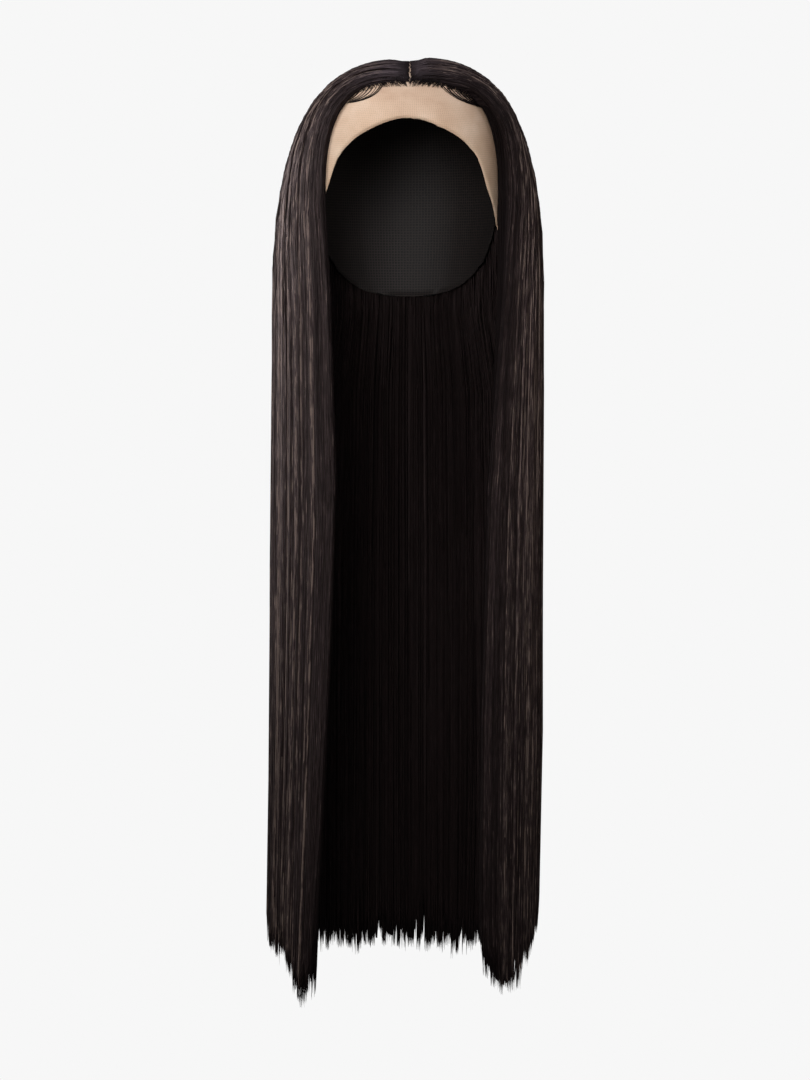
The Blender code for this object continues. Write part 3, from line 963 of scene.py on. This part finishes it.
# %% [markdown]
# ## Hairline
#
# Along the hairline every hair comes out of the lace by itself. Short ones give the edge its
# soft spikes. Long ones rise from it, turn to the side and join the curtain's front edge, so
# they start on the forehead and end on the same paths as the rest of the hair.

# %% Roots at the hairline
HAIRLINE_DROP, HAIRLINE_BEND, HAIRLINE_REACH, HAIRLINE_POWER = 19.5, 14, 52, 3.2

# Short hairs: how far from the middle and below the hairline they start and how long they are,
# in mm, and how far they lean to the side, in degrees
SHORT_ACROSS, SHORT_BELOW, SHORT_LENGTH, SHORT_LEAN = (0.2, 54), (-1, 3.4), (3, 7), (15, 60)
SHORT_STATIONS, SHORT_RADIUS, SHORT_COUNT, SHORT_SEED = 6, 0.2 * MM, 280, 90

# Long ones: how far from the middle and above the hairline they start and how much further out
# they join the curtain's front edge, in mm, and within how many stations
LONG_ACROSS, LONG_ABOVE, LONG_JOIN, JOINED_AT = (9, 57), (0.5, 4), (5, 12), 5
# The long hairs' tones run darker than the rest of the hair, as painted shade along the hairline
LONG_RADIUS, LONG_SHADED_TONES, LONG_COUNT, LONG_SEED = 0.36 * MM, (0.02, 0.6), 300, 95
LONG = dict(shares=(0.0, 0.06), depths=(0.0, 0.3), sinks=(0.0, 1.2 * MM))
LONG.update(lock_width=0.01, tip_cut=10, gather=0.4)


def hairline_drop(across):
    """The hairline's drop below the crown at a distance from the middle, both in mm."""
    return HAIRLINE_DROP + HAIRLINE_BEND * (across / HAIRLINE_REACH) ** HAIRLINE_POWER


def hairline_roots(name, side, count, seed):
    """The short hairs, each by itself."""
    rng = np.random.default_rng(seed)
    run = np.linspace(0, 1, SHORT_STATIONS)[None, :]
    across = rng.uniform(*SHORT_ACROSS, (count, 1))
    base = hairline_drop(across) + rng.uniform(*SHORT_BELOW, (count, 1))
    length = rng.uniform(*SHORT_LENGTH, (count, 1))
    lean = np.radians(rng.uniform(*SHORT_LEAN, (count, 1)))
    line_across = across + length * np.sin(lean) * run**1.2
    line_drop = base - length * np.cos(lean) * run
    offset = CAP_WALL + (0.1 + 1.1 * run**1.3) * MM
    paths, outward = forehead_point(side, line_across * MM, line_drop * MM, offset)
    radii = varied(SHORT_RADIUS, rng, count) * np.clip(0.5 + run, 0, 1)
    return strand_mesh(name, paths, outward, radii, rng.uniform(*FINE_TONES, count))


def hairline_strands(name, side, count, seed):
    """The long hairs, which start on the lace and end as strands of the curtain."""
    rng = np.random.default_rng(seed)
    across = rng.uniform(*LONG_ACROSS, (count, 1))
    share, tip, depth, sink, tone, _, run = lock_paths(side, count, rng, **LONG)
    inner_edge = table_value(HANG, np.zeros(1), 1 if side < 0 else 3) * MM
    joined = np.clip((across + rng.uniform(*LONG_JOIN, (count, 1))) * MM / inner_edge, 0, 0.96)
    start = 1 - (1 - joined) ** (1 / FRONT_POWER)
    along = start + (1 - start) * staggered(rng, count)
    paths, outward = hair_points(side, share, tip, depth, sink, along)
    drop = hairline_drop(across) - rng.uniform(*LONG_ABOVE, (count, 1))
    root, _ = forehead_point(side, across * MM, drop * MM, CAP_WALL + 0.1 * MM + 0 * across)
    joining = smooth(np.arange(STATIONS) / JOINED_AT)[None, :, None]
    paths = mix(root, paths, joining)
    radii = varied(LONG_RADIUS, rng, count) * np.clip((1 - run) * 9, TIP_TAPER, 1)
    radii = radii * mix(0.5, 1, smooth(run * 5))
    return strand_mesh(name, paths, outward, radii, mix(*LONG_SHADED_TONES, tone))


for side, name in ((-1, "left"), (1, "right")):
    short = hairline_roots("roots_" + name, side, SHORT_COUNT, SHORT_SEED + side)
    long = hairline_strands("hairline_strands_" + name, side, LONG_COUNT, LONG_SEED + side)
    for piece, finish in ((short, shaded_finish), (long, hair_finish)):
        piece.data.materials.append(finish)
        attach(piece, "root")
        print(piece.name, "faces", len(piece.data.polygons))


# %% [markdown]
# ## Studio
#
# The wig hangs in front of a plain pale backdrop, a little below eye level. The main softbox
# stands in front and a little to the left. A weaker one fills the right, one from the side
# draws the sheen down the left hair, one lights the crown, and a faint one rims the right.
# The floor is far below, out of the lamps' reach, so it is given a pale shade of its own and is
# clear from underneath.

# %% Floor, light and camera
FLOOR_DROP, FLOOR_RADIUS, FLOOR_TINT = 1.35, 2.1, "#f2f2f2"
select_nothing()
bpy.ops.mesh.primitive_circle_add(
    vertices=64, radius=FLOOR_RADIUS, fill_type="NGON", location=(0, 0, -FLOOR_DROP)
)
floor = bpy.context.object
floor.name = "floor"
paper, paper_shader = new_material("pale_paper")
paper_shader.inputs["Base Color"].default_value = linear(FLOOR_TINT)
paper_shader.inputs["Roughness"].default_value = 0.9
light_path = add_node(paper, "ShaderNodeLightPath")
sides = add_node(paper, "ShaderNodeNewGeometry")
pale = add_node(paper, "ShaderNodeEmission", None, Color=linear(FLOOR_TINT), Strength=1.0)
clear = add_node(paper, "ShaderNodeBsdfTransparent")
from_above = add_node(
    paper,
    "ShaderNodeMixShader",
    None,
    _0=light_path.outputs["Is Camera Ray"],
    _1=paper_shader.outputs["BSDF"],
    _2=pale.outputs["Emission"],
)
either_side = add_node(
    paper,
    "ShaderNodeMixShader",
    None,
    _0=sides.outputs["Backfacing"],
    _1=from_above.outputs[0],
    _2=clear.outputs[0],
)
link(paper, either_side.outputs[0], paper.node_tree.nodes["Material Output"].inputs["Surface"])
floor.data.materials.append(paper)

# The backdrop shows in full to the camera and lights the wig only faintly
BACKDROP, FILL_STRENGTH = "#f7f7f7", 0.09
world = bpy.data.worlds.new("studio")
world.use_nodes = True
background = world.node_tree.nodes["Background"]
background.inputs["Color"].default_value = linear(BACKDROP)
seen = add_node(world, "ShaderNodeLightPath").outputs["Is Camera Ray"]
link(world, map_range(world, seen, (0, FILL_STRENGTH), (1, 1)), background.inputs["Strength"])
bpy.context.scene.world = world
bpy.context.scene.view_settings.view_transform = "Standard"


def soft_light(name, place, aim, size, power, spread, colour):
    """A softbox that faces its aim, with its power in watts and its spread in degrees."""
    lamp = bpy.data.lights.new(name, "AREA")
    lamp.shape = "RECTANGLE"
    lamp.size, lamp.size_y = size
    lamp.energy = power
    lamp.spread = math.radians(spread)
    lamp.color = linear(colour)[:3]
    softbox = add_object(name, lamp)
    softbox.location = place
    softbox.rotation_euler = (Vector(aim) - Vector(place)).to_track_quat("-Z", "Y").to_euler()


# name, place, aim, size, power, spread, colour
SOFTBOXES = (
    ("side_softbox", (-1.7, 0.1, 0.1), (0, 0, -0.09), (0.5, 0.7), 1.2, 48, "#ffffff"),
    ("front_softbox", (-0.5, -2.35, 0.3), (0, 0, -0.07), (0.7, 0.9), 3.5, 50, "#ffffff"),
    ("fill_softbox", (1.1, -1.9, 0.15), (0, 0, -0.06), (0.7, 0.9), 0.75, 48, "#ffffff"),
    ("top_softbox", (-0.1, -0.35, 1.2), (0, 0, 0), (0.3, 0.2), 0.85, 60, "#e6ecff"),
    ("rim_softbox", (1.6, 0.75, 0.0), (0, 0, -0.3), (0.4, 0.9), 0.12, 50, "#ffd8c0"),
)
for settings in SOFTBOXES:
    soft_light(*settings)

# The frame's height is in metres at the wig. It is the longer side, so it spans the sensor.
EYE = Vector((-0.002, -3.8, -0.2276))
AIM = Vector((-0.002, 0, -0.3796))
FRAME_HEIGHT, SENSOR = 0.864, 36.0
camera_data = bpy.data.cameras.new("camera")
camera_data.sensor_width = SENSOR
camera_data.lens = SENSOR * (AIM - EYE).length / FRAME_HEIGHT
camera = add_object("camera", camera_data)
camera.location = EYE
camera.rotation_euler = (AIM - EYE).to_track_quat("-Z", "Y").to_euler()
bpy.context.scene.camera = camera
